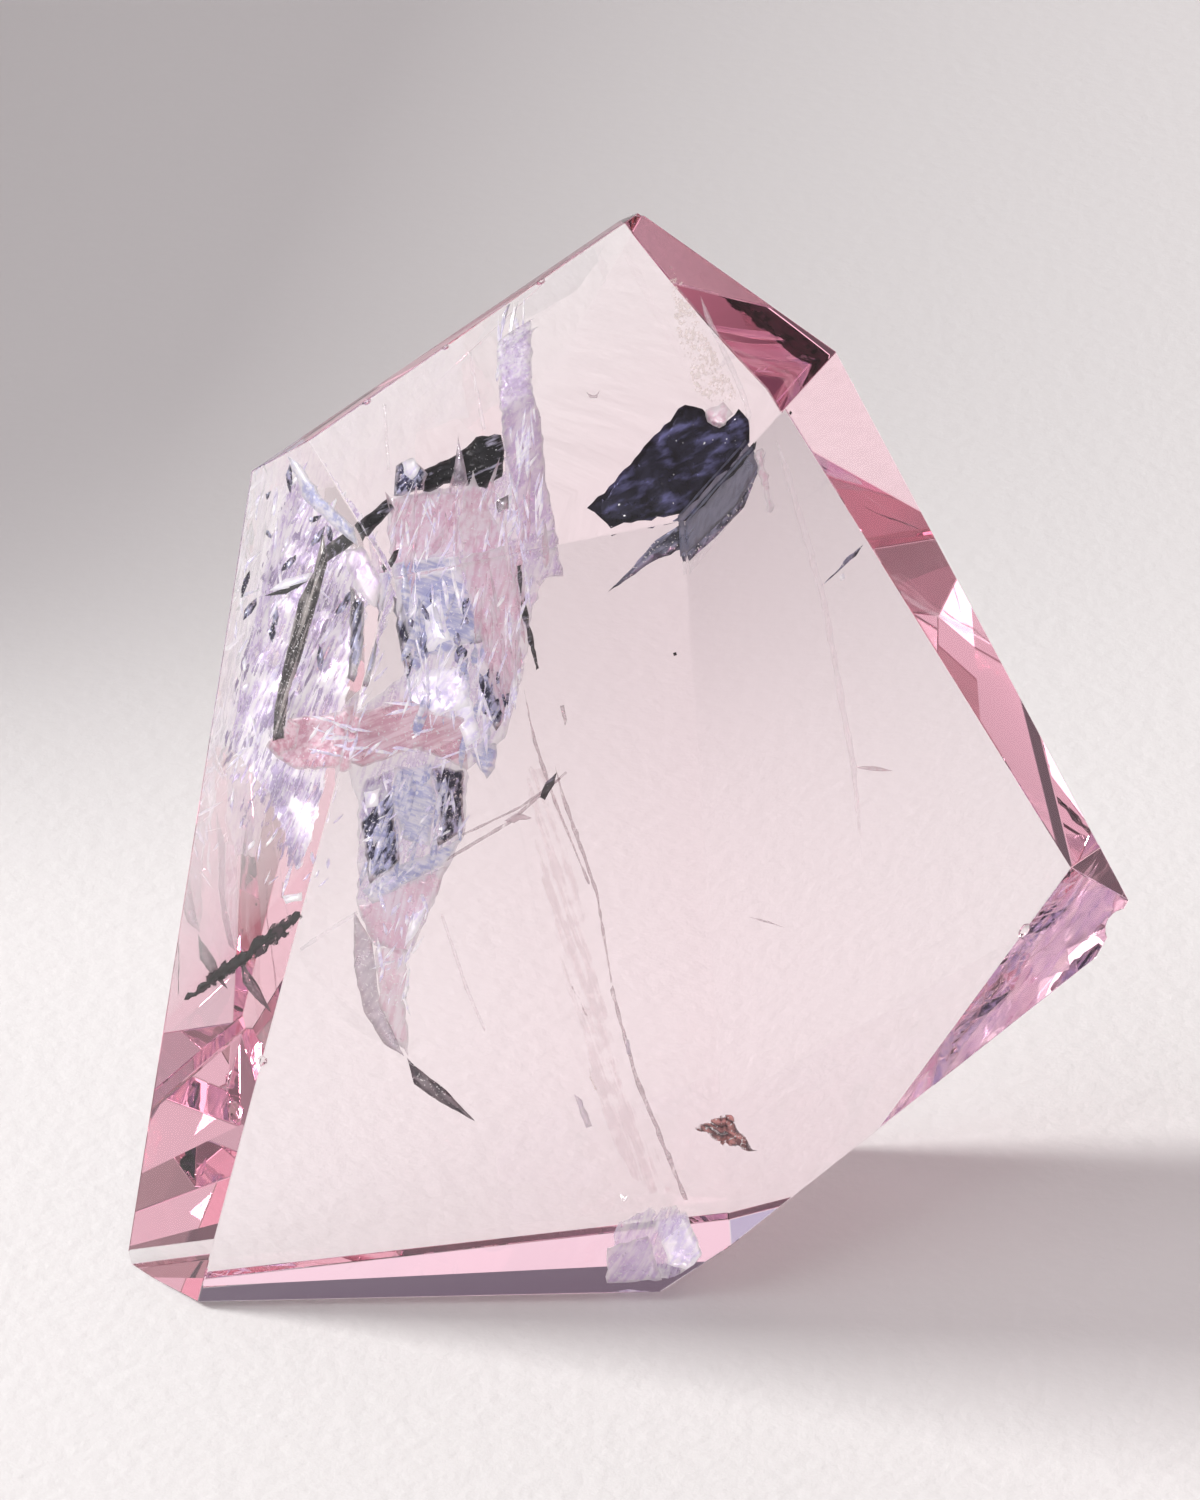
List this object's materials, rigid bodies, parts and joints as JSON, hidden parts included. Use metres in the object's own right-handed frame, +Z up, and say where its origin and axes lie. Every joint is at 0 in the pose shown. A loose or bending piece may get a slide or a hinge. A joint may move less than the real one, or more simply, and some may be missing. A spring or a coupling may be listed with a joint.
{
  "type": "polished rose quartz freeform",
  "caption": "Clear pink rose quartz cut and polished to flat facets, standing upright on a narrow flat base, with a slanted top, bevelled edges and fractures inside.",
  "frame": {"origin": "under the middle of the stone's footprint, on the surface that it stands on", "axes": "+Z up, -Y out of the broad front facet towards the viewer, +X to the viewer's right"},
  "size_m": [0.055, 0.0216, 0.0575],
  "materials": {
    "rose_quartz": "polished, clear pale pink crystal"
  },
  "bodies": {
    "root": {"rose_quartz": "rose_quartz"}
  },
  "joints": []
}
